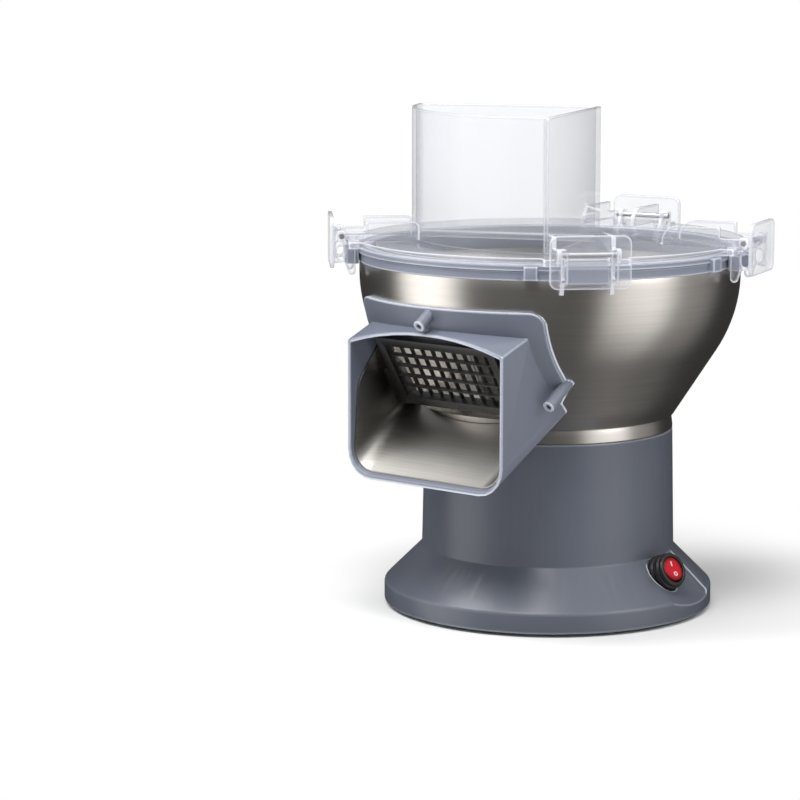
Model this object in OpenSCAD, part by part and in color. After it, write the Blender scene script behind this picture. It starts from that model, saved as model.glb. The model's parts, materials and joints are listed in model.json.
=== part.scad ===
// Vegetable dicer: a motor base, a spun steel bowl with a pusher rotor and a knife grid,
// a discharge chute and a clear lid with a feed hopper and four latches.
// Millimetres, +Z up, origin on the floor under the bowl's axis. The chute points to -Y
// and the switch to +X.

/* [Base] */
// Outer radius of the foot rim
foot_r = 128; // [120:1:140]
// Height of the foot rim's top edge
foot_h = 20; // [16:1:24]
// Height at which the sloping skirt meets the drum
skirt_z = 47; // [42:1:54]
// Outer radius of the drum at the skirt
drum_r = 98.5; // [96:0.5:102]
// Outer radius of the drum at its top
drum_top_r = 96.5; // [95:0.5:98]
// Height of the drum's top deck
drum_top_z = 141; // [136:1:150]
// Wall of the base housing
base_wall = 3; // [2.4:0.2:4]
// Thickness of the top deck
deck_t = 6; // [5:0.5:8]
// Thickness of the bottom plate
plate_t = 4; // [3.5:0.5:5]
// Height of the rubber ring that the machine stands on
ring_foot_h = 2.5; // [2:0.5:4]

/* [Bowl] */
// Outer radius of the bowl at its rim
bowl_r = 147.3; // [142:0.5:152]
// Radius of the bowl's upper curve
bowl_arc_r = 110; // [95:1:125]
// Slope of the bowl's lower cone from the vertical
bowl_slope = 32.7; // [29:0.1:36]
// Height of the bowl's rim above the deck
bowl_rim_h = 129.4; // [126:0.2:140]
// Straight height below the rim
bowl_straight = 8.4; // [6:0.2:12]
// Sheet thickness of the bowl
bowl_t = 2; // [1.6:0.2:3]
// Height of the steel collar under the bowl
collar_h = 10.8; // [8:0.2:14]
// How far the collar's top edge lies inside the drum's top edge
collar_in = 1.1; // [0.5:0.1:3.5]

/* [Rim ring and lid] */
// Height of the ring's lower band
ring_low_h = 7.4; // [6:0.2:9]
// Height of the ring's upper band
ring_high_h = 4.2; // [3:0.2:6]
// Width of the ring from its inner to its outer edge
ring_w = 10; // [9:0.5:12]
// How far the upper band stands out
ring_step = 1.4; // [1:0.1:2.5]
// Thickness of the lid
lid_t = 5; // [4:0.5:7]
// Gap under the lid
lid_gap = 0.3; // [0.3:0.1:0.6]

/* [Hopper] */
// Radius of the quarter-round feed hopper
hopper_r = 146; // [138:1:150]
// Height of the hopper above the lid
hopper_h = 100; // [80:1:120]
// Wall of the hopper
hopper_wall = 3; // [2.4:0.2:4]
// Place of the hopper's inner corner, to the right
hopper_x = 23; // [18:1:28]
// Place of the hopper's inner corner, to the back
hopper_y = 34; // [28:1:38]
// Direction of the hopper's right wall
hopper_a = -69; // [-72:1:-66]
// Opening angle of the hopper
hopper_sweep = 89; // [84:1:92]

/* [Latches] */
// Distance of the latch pins outside the lid's edge
latch_out = 11.8; // [11.2:0.1:15]
// Radius of a latch pin
pin_r = 2; // [1.5:0.1:2.4]
// Width of a latch's finger plate
finger_w = 60; // [54:1:70]
// Height of a latch's finger plate
finger_h = 39; // [36:0.5:42]
// Space between a latch's two cheeks
latch_gap = 34; // [30:1:38]
// Thickness of the clear latch and lid walls
clear_t = 3; // [2.4:0.2:3.6]
// Height of the latch webs above the lid
web_h = 15; // [12:1:18]

/* [Chute] */
// Width of the chute's mouth
mouth_w = 148; // [130:1:156]
// Height of the mouth's lower edge
mouth_low_z = 112; // [106:1:120]
// Height of the mouth's upper corners
mouth_high_z = 217; // [212:1:222]
// Rise of the arch over the mouth's upper corners
mouth_arch = 11; // [6:1:14]
// How far the mouth stands out beyond the bowl's rim
mouth_out = 6.7; // [2:0.1:16]
// Corner radius at the mouth's lower edge
mouth_corner = 22; // [14:1:26]
// Wall of the chute
chute_wall = 2.6; // [2.2:0.2:4]
// Thickness of the flange that lies on the bowl
flange_t = 3; // [2.4:0.2:4]
// Height of the flange's upper edge
flange_high_z = 247; // [244:1:252]
// Width of the flange
flange_w = 172; // [166:1:176]
// Outer radius of the screw bosses
boss_r = 4.4; // [4:0.1:5.2]
// Sheet thickness of the steel chute liner
liner_t = 1.2; // [1:0.1:1.8]

/* [Cutting works] */
// Height of the pusher rotor's plate above the deck
rotor_h = 22; // [20:1:26]
// Thickness of the rotor's plate
rotor_t = 4; // [3:0.5:6]
// Height of the pusher vanes
vane_h = 62; // [50:1:70]
// Thickness of a pusher vane
vane_t = 5; // [4:0.5:7]
// Running gap between the vanes and the bowl
vane_gap = 9; // [8:0.5:14]
// Number of pusher vanes
vane_n = 3; // [2:1:4]
// Width of the knife grid
grid_w = 112; // [100:1:118]
// Height of the knife grid along its slope
grid_h = 64; // [54:1:68]
// Side of a cut cube
dice = 10; // [8:1:14]
// Thickness of a grid knife
knife_t = 1; // [0.8:0.1:1.4]
// Depth of the knife grid's frame
grid_d = 8; // [6:0.5:9]

/* [Drive] */
// Radius of the spindle
spindle_r = 8; // [7:0.5:9]
// Module of the two gears
gear_m = 1.75; // [1.6:0.05:1.8]
// Teeth of the spindle gear
gear_teeth = 50; // [48:2:52]
// Teeth of the motor pinion
pinion_teeth = 14; // [14:2:16]
// Face width of the spindle gear
gear_w = 12; // [10:1:14]
// Radius of the motor
motor_r = 35; // [32:0.5:36]
// Height of the motor
motor_h = 78; // [70:1:80]

/* [Switch] */
// Outer radius of the switch's rubber boot
boot_r = 14.5; // [13.5:0.5:15.5]
// Radius of the red rocker
rocker_r = 9.3; // [8.5:0.1:10]
// Slope of the switch's axis above the horizontal
switch_tilt = 25; // [20:1:32]
// Direction of the switch round the base
switch_a = -7; // [-12:1:0]
// Half the travel of the rocker, in degrees
rocker_half = 7; // [5:0.5:9]

/* [Hidden] */
$fn = 96;
EPS = 0.01;
// Clearance of a pin that turns in its hole
RUN = 0.05;
// Clearance between pieces that are pushed together and don't move
SEAT = 0.05;
// Air between pieces that pass each other
AIR = 0.4;

// Base
plate_z = ring_foot_h;
plate_top = plate_z + plate_t;
plate_r = foot_r - base_wall - AIR;
foot_edge_r = 4;
deck_z = drum_top_z - deck_t;
tower_r = 30;
panel_drop = 4;
collar_w = 7.1;
collar_edge = 1.2;
panel_ledge = 0.5;
panel_turn = 12;
panel_edge = 21.5;
skirt_a = atan2(skirt_z - foot_h, foot_r - foot_edge_r - drum_r);
screw_r = 2;
screw_head_r = 4;
screw_head_h = 2.4;
base_screw_ring = foot_r - 27;
base_boss_r = 6;
base_screw_l = 16;
rubber_out = foot_r - 12;
rubber_in = foot_r - 19;
gland_r = 4.6;
gland_flange_r = 6.8;
gland_bore = 3.2;
gland_z = plate_top + gland_r + AIR;
vent_ring = 70;
vent_n = 12;
vent = [18, 4];

// Bowl, with the collar that it stands on
collar_z = drum_top_z;
bowl_z = collar_z + collar_h;
rim_z = drum_top_z + bowl_rim_h;
arc_z = rim_z - bowl_straight;
arc_x = bowl_r - bowl_arc_r;
floor_z = bowl_z + bowl_t;
hub_hole_r = 24;

// Rim ring
ring_mid_z = rim_z + ring_low_h;
ring_top_z = ring_mid_z + ring_high_h;
ring_out = bowl_r + 0.4;
ring_in = ring_out - ring_w;
spigot_h = 7;
spigot_t = 4;
seam = 0.7;
gasket_h = 3;
gasket_w = 3;
lug_w = latch_gap - 2 * AIR - 0.6;
lug_drop = 1.2;
stop_turn = 15.2;
stop_w = 10;
stop_out = 5;

// Lid
lid_z = ring_top_z + lid_gap;
lid_top = lid_z + lid_t;
lid_r = ring_out + ring_step + 0.8;
latch_pin_r = lid_r + latch_out;
lid_lip_out = ring_in - AIR;
lid_lip_h = 6;
tab_w = 64;
tab_out = latch_pin_r - 5;
web_x = latch_gap / 2 + clear_t + AIR;
web_in = 98;
web_round = 12;
web_end = 18.5;
pin_z = lid_top + 3.6;
pin_boss_r = 4.6;
hopper_mid = hopper_a - hopper_sweep / 2;

// Latches
finger_r = latch_pin_r + 6;
finger_over = 15;
finger_z = pin_z + finger_over - finger_h;
prong_r = lid_r + 1.1;
prong_w = 6;
prong_drop = 3;
lug_out = latch_pin_r - 3;
latch_angles = [-137, -43, 17, 99];

// Chute
mouth_y = bowl_r + mouth_out;
root_depth = 92;
root_y = mouth_y - root_depth;
floor_fall = 35;
roof_fall = 20;
root_low_z = mouth_low_z + root_depth * tan(floor_fall);
root_high_z = mouth_high_z + root_depth * tan(roof_fall);
mouth_arch_r = (pow(mouth_w / 2, 2) + pow(mouth_arch, 2)) / (2 * mouth_arch);
flange_low_z = bowl_z + 1.2;
flange_low_w = 120;
flange_corner = 9;
ear_r = 6.6;
ear_in = 5;
ear_low_a = 50;
ear_high_a = 20;
boss_bore = 2.2;
boss_recess = 5;
boss_in = 12;
boss_top_in = 4.4;
boss_top_z = flange_high_z - boss_top_in;
boss_top_l = 16.5;
boss_side_out = 10;
boss_side_x = mouth_w / 2 + boss_side_out;
boss_side_rise = 39.2;
boss_side_z = bowl_z + boss_side_rise;
boss_side_l = 27;
liner_gap = 0.4;
liner_high_z = mouth_high_z + 5;
liner_front = 2.5;
liner_lean = 9;
liner_back = 26;

// Cutting works
rotor_z = drum_top_z + rotor_h;
rotor_top = rotor_z + rotor_t;
rotor_hub_r = 20;
rotor_hub_h = 34;
grid_rise = 41.2;
grid_z = floor_z + grid_rise;
window_low = 6;
window_h = 68;
grid_bar = 7;
grid_back = 3;
cheek_w = 5;
cheek_l = 22;

// Drive
gear_r = gear_m * gear_teeth / 2;
pinion_pitch_r = gear_m * pinion_teeth / 2;
gear_gap = 0.12;
centre_d = gear_r + pinion_pitch_r + gear_gap;
motor_a = 90;
carrier_z = deck_z - 36;
carrier_t = 6;
carrier_gap = 2;
carrier_r = min(drum_at(carrier_z), drum_at(carrier_z + carrier_t)) - base_wall - carrier_gap;
post_ring = drum_top_r - 14.5;
post_r = 6;
gear_z = carrier_z + carrier_t + 6;
motor_shaft_r = 5;
shaft_grip = 11;
bearing_w = 9;
bearing_out = 15;
bearing_low_z = carrier_z + 4 - bearing_w;
carrier_hub_r = 19;
light_ring = 52;
light_r = 15;
collar_gap = 0.2;
bearing_high_z = drum_top_z + 2;
tower_h = 17;
seal_h = 5;
nut_z = rotor_z + rotor_hub_h;
nut_h = 12;

// Switch
boot_l = 14;
switch_face = [foot_r - 9, 2, skirt_z - 6];
switch_body_r = 11;
switch_body_l = 22;
rocker_bore = rocker_r + 0.8;
trunnion_r = 1.2;
trunnion_l = 1.2;
rocker_deep = 4;
pocket_r = boot_r + 1;

GREY = "#6b707c";
LIGHT_GREY = "#8a90a0";
STEEL = "#b9b6b0";
BLACK = "#1c1c1e";
CLEAR = "#dfe3ee";

// Points of an arc about a centre, from one angle to another
function arc(c, r, a0, a1, n = 6) = [for (i = [0 : n]) c + r * [cos(a0 + (a1 - a0) * i / n),
                                                                sin(a0 + (a1 - a0) * i / n)]];

// Radius of the bowl's cone at a height, on a skin that lies this far inside the outer one
function cone_r(z, inset = 0) = arc_x + (bowl_arc_r - inset) * cos(bowl_slope)
    - tan(bowl_slope) * (tangent_z(inset) - z);
function tangent_z(inset = 0) = arc_z - (bowl_arc_r - inset) * sin(bowl_slope);

// Radius of the drum at a height
function drum_at(z) = drum_r + (drum_top_r - drum_r) * (z - skirt_z) / (drum_top_z - skirt_z);

// Radius of the bowl's outer skin at a height, and its depth from the axis at a sideways place
function skin_r(z) = z > tangent_z() ? arc_x + sqrt(pow(bowl_arc_r, 2) - pow(arc_z - z, 2)) : cone_r(z);
function skin_y(x, z) = sqrt(pow(skin_r(z), 2) - x * x);

// Half section of all that lies inside a skin of the bowl, from a low height to a high one
module bowl_section(inset, low, high) {
    intersection() {
        translate([arc_x, arc_z])
            circle(r = bowl_arc_r - inset, $fn = 240);
        translate([0, tangent_z(inset)])
            square([bowl_r * 2, arc_z - tangent_z(inset)]);
    }
    translate([0, arc_z - EPS])
        square([bowl_r - inset, high - arc_z + EPS]);
    polygon([[0, low], [cone_r(low, inset), low], [cone_r(tangent_z(inset), inset), tangent_z(inset) + EPS],
             [0, tangent_z(inset) + EPS]]);
}

module at_latch(a) {
    rotate([0, 0, a])
        children();
}

// A plate in the plane of a radius and the axis, drawn as radius and height, at a sideways place
module radial_plate(y, t) {
    translate([0, y + t / 2, 0])
        rotate([90, 0, 0])
            linear_extrude(t)
                children();
}

// A plate across the chute, drawn as width and height, from one depth to another
module cross_plate(y0, y1) {
    translate([0, -y0, 0])
        rotate([90, 0, 0])
            linear_extrude(y1 - y0)
                children();
}

// BASE

module base_outer() {
    rotate_extrude($fn = 180)
        polygon(concat([[0, plate_z], [foot_r, plate_z]],
                       arc([foot_r - foot_edge_r, foot_h - foot_edge_r], foot_edge_r, 0, skirt_a, 4),
                       [[drum_r, skirt_z], [drum_top_r, drum_top_z], [0, drum_top_z]]));
}

// All that lies this far inside the base's outer skin, up to a height
module base_inner(wall, high) {
    rotate_extrude($fn = 180)
        polygon([[0, plate_z - EPS], [foot_r - wall, plate_z - EPS], [foot_r - wall, foot_h - foot_edge_r],
                 [drum_r - wall, skirt_z - wall * tan(skirt_a / 2)],
                 [drum_top_r - wall, high], [0, high]]);
}

// The space over the flat switch panel, which is sunk in the skirt as far as an upright radial wall
module panel_space(wall) {
    drop = panel_drop + wall / cos(skirt_a);
    reach = foot_r - drum_r;
    intersection() {
        rotate([90, 0, panel_turn])
            translate([0, 0, -foot_r])
                linear_extrude(2 * foot_r)
                    polygon([[drum_r - reach, skirt_z - drop + reach * tan(skirt_a)],
                             [foot_r + reach, skirt_z - drop - 2 * reach * tan(skirt_a)],
                             [foot_r + reach, skirt_z + reach],
                             [drum_r - reach, skirt_z + reach * 2]]);
        rotate([0, 0, panel_edge])
            translate([0, wall - 2 * foot_r, 0])
                cube([2 * foot_r, 2 * foot_r, 2 * skirt_z]);
    }
}

module panel_cut(wall) {
    difference() {
        panel_space(wall);
        translate([0, 0, plate_z - 1])
            cylinder(r1 = drum_r + (drum_r - drum_top_r) * (skirt_z - plate_z + 1) / (drum_top_z - skirt_z)
                          - wall + panel_ledge,
                     r2 = drum_top_r - wall + panel_ledge, h = drum_top_z - plate_z + 1, $fn = 180);
    }
}

module on_ring(r, n, start) {
    for (i = [0 : n - 1])
        rotate([0, 0, start + 360 / n * i])
            translate([r, 0, 0])
                children();
}

module on_switch() {
    translate(switch_face)
        rotate([0, 90 - switch_tilt, switch_a])
            children();
}

module base_housing() {
    color(GREY)
    difference() {
        union() {
            difference() {
                base_outer();
                panel_cut(0);
                difference() {
                    base_inner(base_wall, deck_z);
                    panel_cut(base_wall);
                }
            }
            on_ring(post_ring, 4, 45)
                translate([0, 0, carrier_z + carrier_t])
                    cylinder(r = post_r, h = deck_z - carrier_z - carrier_t + 1);
            intersection() {
                difference() {
                    base_inner(base_wall / 2, deck_z + 1);
                    panel_cut(base_wall / 2);
                }
                union() {
                    on_ring(base_screw_ring, 4, 45)
                        translate([0, 0, plate_top])
                            cylinder(r = base_boss_r, h = skirt_z - plate_top);
                    on_switch()
                        translate([0, 0, -boot_l - 8])
                            cylinder(r = pocket_r + base_wall, h = boot_l + 8);
                }
            }
        }
        translate([0, 0, deck_z - 1])
            cylinder(r = tower_r + SEAT, h = deck_t + 2);
        on_ring(base_screw_ring, 4, 45)
            translate([0, 0, plate_top - 1])
                cylinder(r = screw_r + SEAT, h = base_screw_l);
        on_ring(post_ring, 4, 45)
            translate([0, 0, carrier_z + carrier_t - 1])
                cylinder(r = screw_r + SEAT, h = base_screw_l);
        on_switch() {
            translate([0, 0, -boot_l])
                cylinder(r = pocket_r, h = boot_l * 3);
            translate([0, 0, -boot_l - 20])
                cylinder(r = switch_body_r + SEAT, h = 30);
        }
        translate([0, foot_r - base_wall - 4, gland_z])
            rotate([-90, 0, 0])
                cylinder(r = gland_r + SEAT, h = base_wall + 8);
    }
}

module base_plate() {
    color(GREY)
    difference() {
        translate([0, 0, plate_z])
            cylinder(r = plate_r, h = plate_t, $fn = 180);
        on_ring(base_screw_ring, 4, 45) {
            translate([0, 0, plate_z - 1])
                cylinder(r = screw_head_r + AIR, h = screw_head_h + 1);
            cylinder(r = screw_r + SEAT, h = plate_top + 1);
        }
        on_ring(vent_ring, vent_n, 180 / vent_n)
            translate([-vent[0] / 2, -vent[1] / 2, plate_z - 1])
                cube([vent[0], vent[1], plate_t + 2]);
    }
}

module rubber_foot_ring() {
    color(BLACK)
    rotate_extrude($fn = 180)
        translate([rubber_in, 0])
            square([rubber_out - rubber_in, ring_foot_h]);
}

// A cap screw with its head down or up, its head's seat at the origin
module screw(l) {
    cylinder(r = screw_r, h = l);
    translate([0, 0, -screw_head_h])
        difference() {
            cylinder(r = screw_head_r, h = screw_head_h);
            translate([0, 0, -1])
                cylinder(r = screw_r, h = screw_head_h - 0.6 + 1, $fn = 6);
        }
}

module base_screws() {
    color(STEEL)
    on_ring(base_screw_ring, 4, 45)
        translate([0, 0, plate_z + screw_head_h])
            screw(base_screw_l);
}

module cable_gland() {
    color(BLACK)
    translate([0, foot_r, gland_z])
        rotate([-90, 0, 0])
            difference() {
                union() {
                    translate([0, 0, -base_wall - 3])
                        cylinder(r = gland_r, h = base_wall + 3 + 2);
                    translate([0, 0, SEAT])
                        cylinder(r = gland_flange_r, h = 3, $fn = 6);
                }
                translate([0, 0, -base_wall - 4])
                    cylinder(r = gland_bore, h = base_wall + 12);
            }
}

// DRIVE

module gear_carrier() {
    color(STEEL)
    translate([0, 0, carrier_z])
        difference() {
            union() {
                cylinder(r = carrier_r, h = carrier_t, $fn = 180);
                translate([0, 0, bearing_low_z - carrier_z])
                    cylinder(r = carrier_hub_r, h = carrier_t);
            }
            translate([0, 0, bearing_low_z - carrier_z - 1])
                cylinder(r = bearing_out - 2, h = carrier_t + bearing_w + 2);
            translate([0, 0, bearing_low_z - carrier_z - 1])
                cylinder(r = bearing_out + SEAT, h = bearing_w + 1);
            on_ring(post_ring, 4, 45)
                translate([0, 0, -1])
                    cylinder(r = screw_r + SEAT, h = carrier_t + 2);
            rotate([0, 0, motor_a])
                translate([centre_d, 0, -1])
                    cylinder(r = motor_shaft_r + 3, h = carrier_t + 2);
            for (a = [-150, -90, -30])
                rotate([0, 0, a])
                    translate([light_ring, 0, -1])
                        cylinder(r = light_r, h = carrier_t + 2);
        }
}

module carrier_screws() {
    color(STEEL)
    on_ring(post_ring, 4, 45)
        translate([0, 0, carrier_z])
            screw(base_screw_l);
}

module motor() {
    color("#3b3d42")
    rotate([0, 0, motor_a])
        translate([centre_d, 0, carrier_z - motor_h])
            difference() {
                union() {
                    cylinder(r = motor_r - 3, h = motor_h);
                    translate([0, 0, 8])
                        cylinder(r = motor_r, h = 14);
                    translate([0, 0, motor_h - 22])
                        cylinder(r = motor_r, h = 22);
                }
                translate([0, 0, motor_h - shaft_grip - 1])
                    cylinder(r = motor_shaft_r + RUN, h = motor_h);
                for (i = [0 : 11])
                    rotate([0, 0, 30 * i])
                        translate([motor_r - 4, -2, 11])
                            cube([8, 4, 8]);
            }
}

// One tooth's outline points, with straight flanks and a flat tip
function tooth(i, n, r, m) = let (p = 360 / n, a = p * i) [
    for (s = [[-0.30, -1.2], [-0.24, 0], [-0.11, 0.95], [0.11, 0.95], [0.24, 0], [0.30, -1.2]])
        (r + s[1] * m) * [cos(a + s[0] * p), sin(a + s[0] * p)]];

module gear_outline(n, m, turn = 0) {
    rotate([0, 0, turn])
        polygon([for (i = [0 : n - 1]) each tooth(i, n, n * m / 2, m)]);
}

module spindle_gear() {
    color(STEEL)
    translate([0, 0, gear_z])
        difference() {
            linear_extrude(gear_w)
                gear_outline(gear_teeth, gear_m, motor_a);
            translate([0, 0, -1])
                cylinder(r = spindle_r + SEAT, h = gear_w + 2);
            on_ring(gear_r * 0.58, 6, 30)
                translate([0, 0, -1])
                    cylinder(r = 7, h = gear_w + 2);
        }
}

module motor_pinion() {
    color(STEEL)
    rotate([0, 0, motor_a])
        translate([centre_d, 0, 0]) {
            translate([0, 0, gear_z - 1])
                linear_extrude(gear_w + 2)
                    gear_outline(pinion_teeth, gear_m, 180 + 180 / pinion_teeth);
            translate([0, 0, carrier_z - shaft_grip])
                cylinder(r = motor_shaft_r, h = gear_z - carrier_z + shaft_grip);
        }
}

module spindle() {
    color(STEEL)
    union() {
        translate([0, 0, bearing_low_z])
            cylinder(r = spindle_r, h = nut_z - bearing_low_z - 10);
        translate([0, 0, nut_z - 10 - EPS])
            cylinder(r = spindle_r - 3, h = nut_h + 6);
        translate([0, 0, bearing_low_z + bearing_w + collar_gap])
            cylinder(r = spindle_r + 3, h = gear_z - bearing_low_z - bearing_w - collar_gap);
    }
}

module bearing(z) {
    translate([0, 0, z])
        rotate_extrude()
            difference() {
                translate([spindle_r + RUN, 0])
                    square([bearing_out - spindle_r - RUN, bearing_w]);
                for (y = [-EPS, bearing_w - 1 + EPS])
                    translate([spindle_r + 2.5, y])
                        square([bearing_out - spindle_r - 5, 1]);
            }
}

module lower_bearing() {
    color(STEEL)
    bearing(bearing_low_z);
}

module upper_bearing() {
    color(STEEL)
    bearing(bearing_high_z);
}

module bearing_tower() {
    color("#8d9096")
    difference() {
        union() {
            translate([0, 0, deck_z - 6])
                cylinder(r = tower_r, h = deck_t + 6);
            translate([0, 0, drum_top_z])
                cylinder(r = tower_r + 9, h = 5);
            translate([0, 0, drum_top_z])
                cylinder(r = hub_hole_r - AIR, h = tower_h);
        }
        translate([0, 0, deck_z - 7])
            cylinder(r = bearing_out - 2, h = deck_t + tower_h + 20);
        translate([0, 0, bearing_high_z])
            cylinder(r = bearing_out + SEAT, h = tower_h + 5);
    }
}

module shaft_seal() {
    color(BLACK)
    translate([0, 0, bearing_high_z + bearing_w])
        rotate_extrude()
            polygon([[spindle_r + RUN, 1], [spindle_r + 1.5, 0], [bearing_out, 0], [bearing_out, seal_h],
                     [spindle_r + 3, seal_h], [spindle_r + RUN, 3.4]]);
}

// BOWL

module bowl_collar() {
    color(STEEL)
    rotate_extrude($fn = 180)
        polygon([[drum_top_r - collar_w, collar_z], [drum_top_r, collar_z], [drum_top_r, collar_z + collar_edge],
                 [drum_top_r - collar_in, bowl_z], [drum_top_r - collar_w, bowl_z]]);
}

module outlet_window() {
    cross_plate(0, 2 * mouth_y)
        translate([-grid_w / 2 - AIR, floor_z + window_low])
            square([grid_w + 2 * AIR, window_h]);
}

module bowl() {
    color(STEEL)
    difference() {
        rotate_extrude($fn = 240)
            difference() {
                bowl_section(0, bowl_z, rim_z);
                bowl_section(bowl_t, floor_z, rim_z + 1);
            }
        translate([0, 0, bowl_z - 1])
            cylinder(r = hub_hole_r, h = bowl_t + 2);
        outlet_window();
    }
}

module rim_ring() {
    color(LIGHT_GREY)
    difference() {
        union() {
            rotate_extrude($fn = 240)
                polygon([[ring_in, rim_z], [bowl_r - bowl_t - AIR - spigot_t, rim_z - spigot_h],
                         [bowl_r - bowl_t - AIR, rim_z - spigot_h], [bowl_r - bowl_t - AIR, rim_z],
                         [ring_out, rim_z], [ring_out, ring_mid_z - seam], [ring_out - seam, ring_mid_z - seam],
                         [ring_out - seam, ring_mid_z], [ring_out + ring_step, ring_mid_z],
                         [ring_out + ring_step, ring_top_z], [ring_in, ring_top_z]]);
            for (a = latch_angles)
                at_latch(a - stop_turn)
                    translate([ring_out - 2, -stop_w / 2, rim_z + 0.6])
                        cube([2 + stop_out, stop_w, ring_top_z - rim_z - 1.4]);
        }
        translate([0, 0, ring_top_z - gasket_h])
            rotate_extrude($fn = 240)
                translate([ring_in + 3, 0])
                    square([gasket_w + 2 * SEAT, gasket_h + 1]);
    }
}

// Blocks on the ring, over which the latches' prongs reach
module latch_keepers() {
    color(LIGHT_GREY)
    for (a = latch_angles)
        at_latch(a)
            difference() {
                intersection() {
                    translate([ring_out, -lug_w / 2, rim_z - lug_drop])
                        cube([lug_out - ring_out, lug_w, ring_top_z - 1 - rim_z + lug_drop]);
                    cylinder(r = lug_out, h = ring_top_z, $fn = 180);
                }
                cylinder(r = ring_out + ring_step + SEAT, h = ring_top_z, $fn = 180);
            }
}

module rim_gasket() {
    color(BLACK)
    translate([0, 0, ring_top_z - gasket_h])
        rotate_extrude($fn = 240)
            translate([ring_in + 3 + SEAT, 0])
                square([gasket_w, gasket_h]);
}

// CUTTING WORKS

module rotor_plate() {
    color(STEEL)
    difference() {
        union() {
            translate([0, 0, rotor_z])
                cylinder(r1 = cone_r(rotor_z, bowl_t) - vane_gap, r2 = cone_r(rotor_top, bowl_t) - vane_gap,
                         h = rotor_t, $fn = 180);
            translate([0, 0, rotor_z])
                cylinder(r1 = rotor_hub_r, r2 = rotor_hub_r - 4, h = rotor_hub_h);
        }
        translate([0, 0, rotor_z - 1])
            cylinder(r = spindle_r + SEAT, h = rotor_hub_h - 9);
        translate([0, 0, rotor_z])
            cylinder(r = spindle_r - 3 + SEAT, h = rotor_hub_h + 1);
    }
}

module pusher_vanes() {
    color(STEEL)
    for (i = [0 : vane_n - 1])
        rotate([0, 0, 30 + 360 / vane_n * i])
            translate([0, rotor_hub_r * 0.7, 0])
                radial_plate(0, vane_t)
                    polygon([[rotor_hub_r - 2, rotor_top], [cone_r(rotor_top, bowl_t) - vane_gap - 3, rotor_top],
                             [cone_r(rotor_top + vane_h - 20, bowl_t) - vane_gap - 8, rotor_top + vane_h - 20],
                             [cone_r(rotor_top + vane_h - 26, bowl_t) - vane_gap - 12, rotor_top + vane_h],
                             [rotor_hub_r + 26, rotor_top + vane_h], [rotor_hub_r + 2, rotor_top + rotor_hub_h * 0.6]]);
}

module rotor_nut() {
    color(STEEL)
    translate([0, 0, nut_z])
        difference() {
            union() {
                cylinder(r = 11, h = nut_h, $fn = 6);
                cylinder(r = 13, h = 3);
            }
            translate([0, 0, -1])
                cylinder(r = spindle_r - 3 + SEAT, h = nut_h + 2);
        }
}

// The knife grid lies in the slope of the bowl's cone, over the outlet
module on_grid() {
    translate([0, -cone_r(grid_z, bowl_t), grid_z])
        rotate([90 + bowl_slope, 0, 0])
            children();
}

// The frame's cheeks rest on the bowl's skin at both sides of the outlet
module knife_grid_frame() {
    color(STEEL)
    union() {
        on_grid()
            translate([0, 0, -grid_back])
                linear_extrude(grid_d)
                    difference() {
                        square([grid_w, grid_h], center = true);
                        square([grid_w - 2 * grid_bar, grid_h - 2 * grid_bar], center = true);
                    }
        difference() {
            on_grid()
                for (side = [-1, 1])
                    translate([side * grid_w / 2 - cheek_w, -grid_h / 2, grid_d - grid_back - cheek_l])
                        cube([2 * cheek_w, grid_h / 2, cheek_l]);
            bowl_solid(SEAT);
        }
    }
}

module upright_knives() {
    color(STEEL)
    on_grid()
        for (x = [-grid_w / 2 + grid_bar + dice : dice : grid_w / 2 - grid_bar - dice / 2])
            translate([x - knife_t / 2, -grid_h / 2 + grid_bar, -2.6])
                cube([knife_t, grid_h - 2 * grid_bar, grid_d / 2 - 0.8]);
}

module cross_knives() {
    color(STEEL)
    on_grid()
        for (y = [-grid_h / 2 + grid_bar + dice : dice : grid_h / 2 - grid_bar - dice / 2])
            translate([-grid_w / 2 + grid_bar, y - knife_t / 2, -2.6 + grid_d / 2 - 0.8])
                cube([grid_w - 2 * grid_bar, knife_t, grid_d / 2 - 0.8]);
}

// CHUTE

// The mouth's outline with an arched top and round lower corners, this far inside the outer wall
module mouth_outline(inset, $fn = 32) {
    w = mouth_w / 2 - inset;
    low = mouth_low_z + inset;
    c = mouth_corner - inset;
    top = mouth_high_z + mouth_arch - inset;
    a = asin((mouth_w / 2) / mouth_arch_r);
    polygon(concat(arc([-w + c, low + c], c, 180, 270, 5), arc([w - c, low + c], c, 270, 360, 5),
                   [for (i = [0 : 10]) let (t = a - 2 * a * i / 10)
                        [w * sin(t) / sin(a), top - mouth_arch_r * (1 - cos(t))]]));
}

// The chute's outline inside the bowl, from which it runs out and down to the mouth
module root_outline(inset) {
    w = mouth_w / 2 + 2 - inset;
    translate([-w, root_low_z + inset])
        square([2 * w, root_high_z - root_low_z - 2 * inset]);
}

module chute_form(inset, reach = 0) {
    hull() {
        cross_plate(mouth_y - EPS + reach, mouth_y + reach)
            mouth_outline(inset);
        cross_plate(root_y, root_y + EPS)
            root_outline(inset);
    }
}

module flange_outline() {
    c = flange_corner;
    w = flange_w / 2;
    polygon(concat([[-flange_low_w / 2, flange_low_z], [flange_low_w / 2, flange_low_z]],
                   arc([boss_side_x - ear_in, boss_side_z], ear_r, -ear_low_a, ear_high_a, 4),
                   arc([w - c, flange_high_z - c], c, 0, 90, 5),
                   arc([-w + c, flange_high_z - c], c, 90, 180, 5),
                   arc([-boss_side_x + ear_in, boss_side_z], ear_r, 180 - ear_high_a, 180 + ear_low_a, 4)));
}

module bowl_solid(out) {
    rotate_extrude($fn = 240)
        bowl_section(-out, bowl_z - 1, rim_z + 1);
}

// Room for the drum and the collar under the bowl
module drum_space() {
    cylinder(r = drum_top_r + AIR, h = bowl_z, $fn = 180);
}

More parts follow.
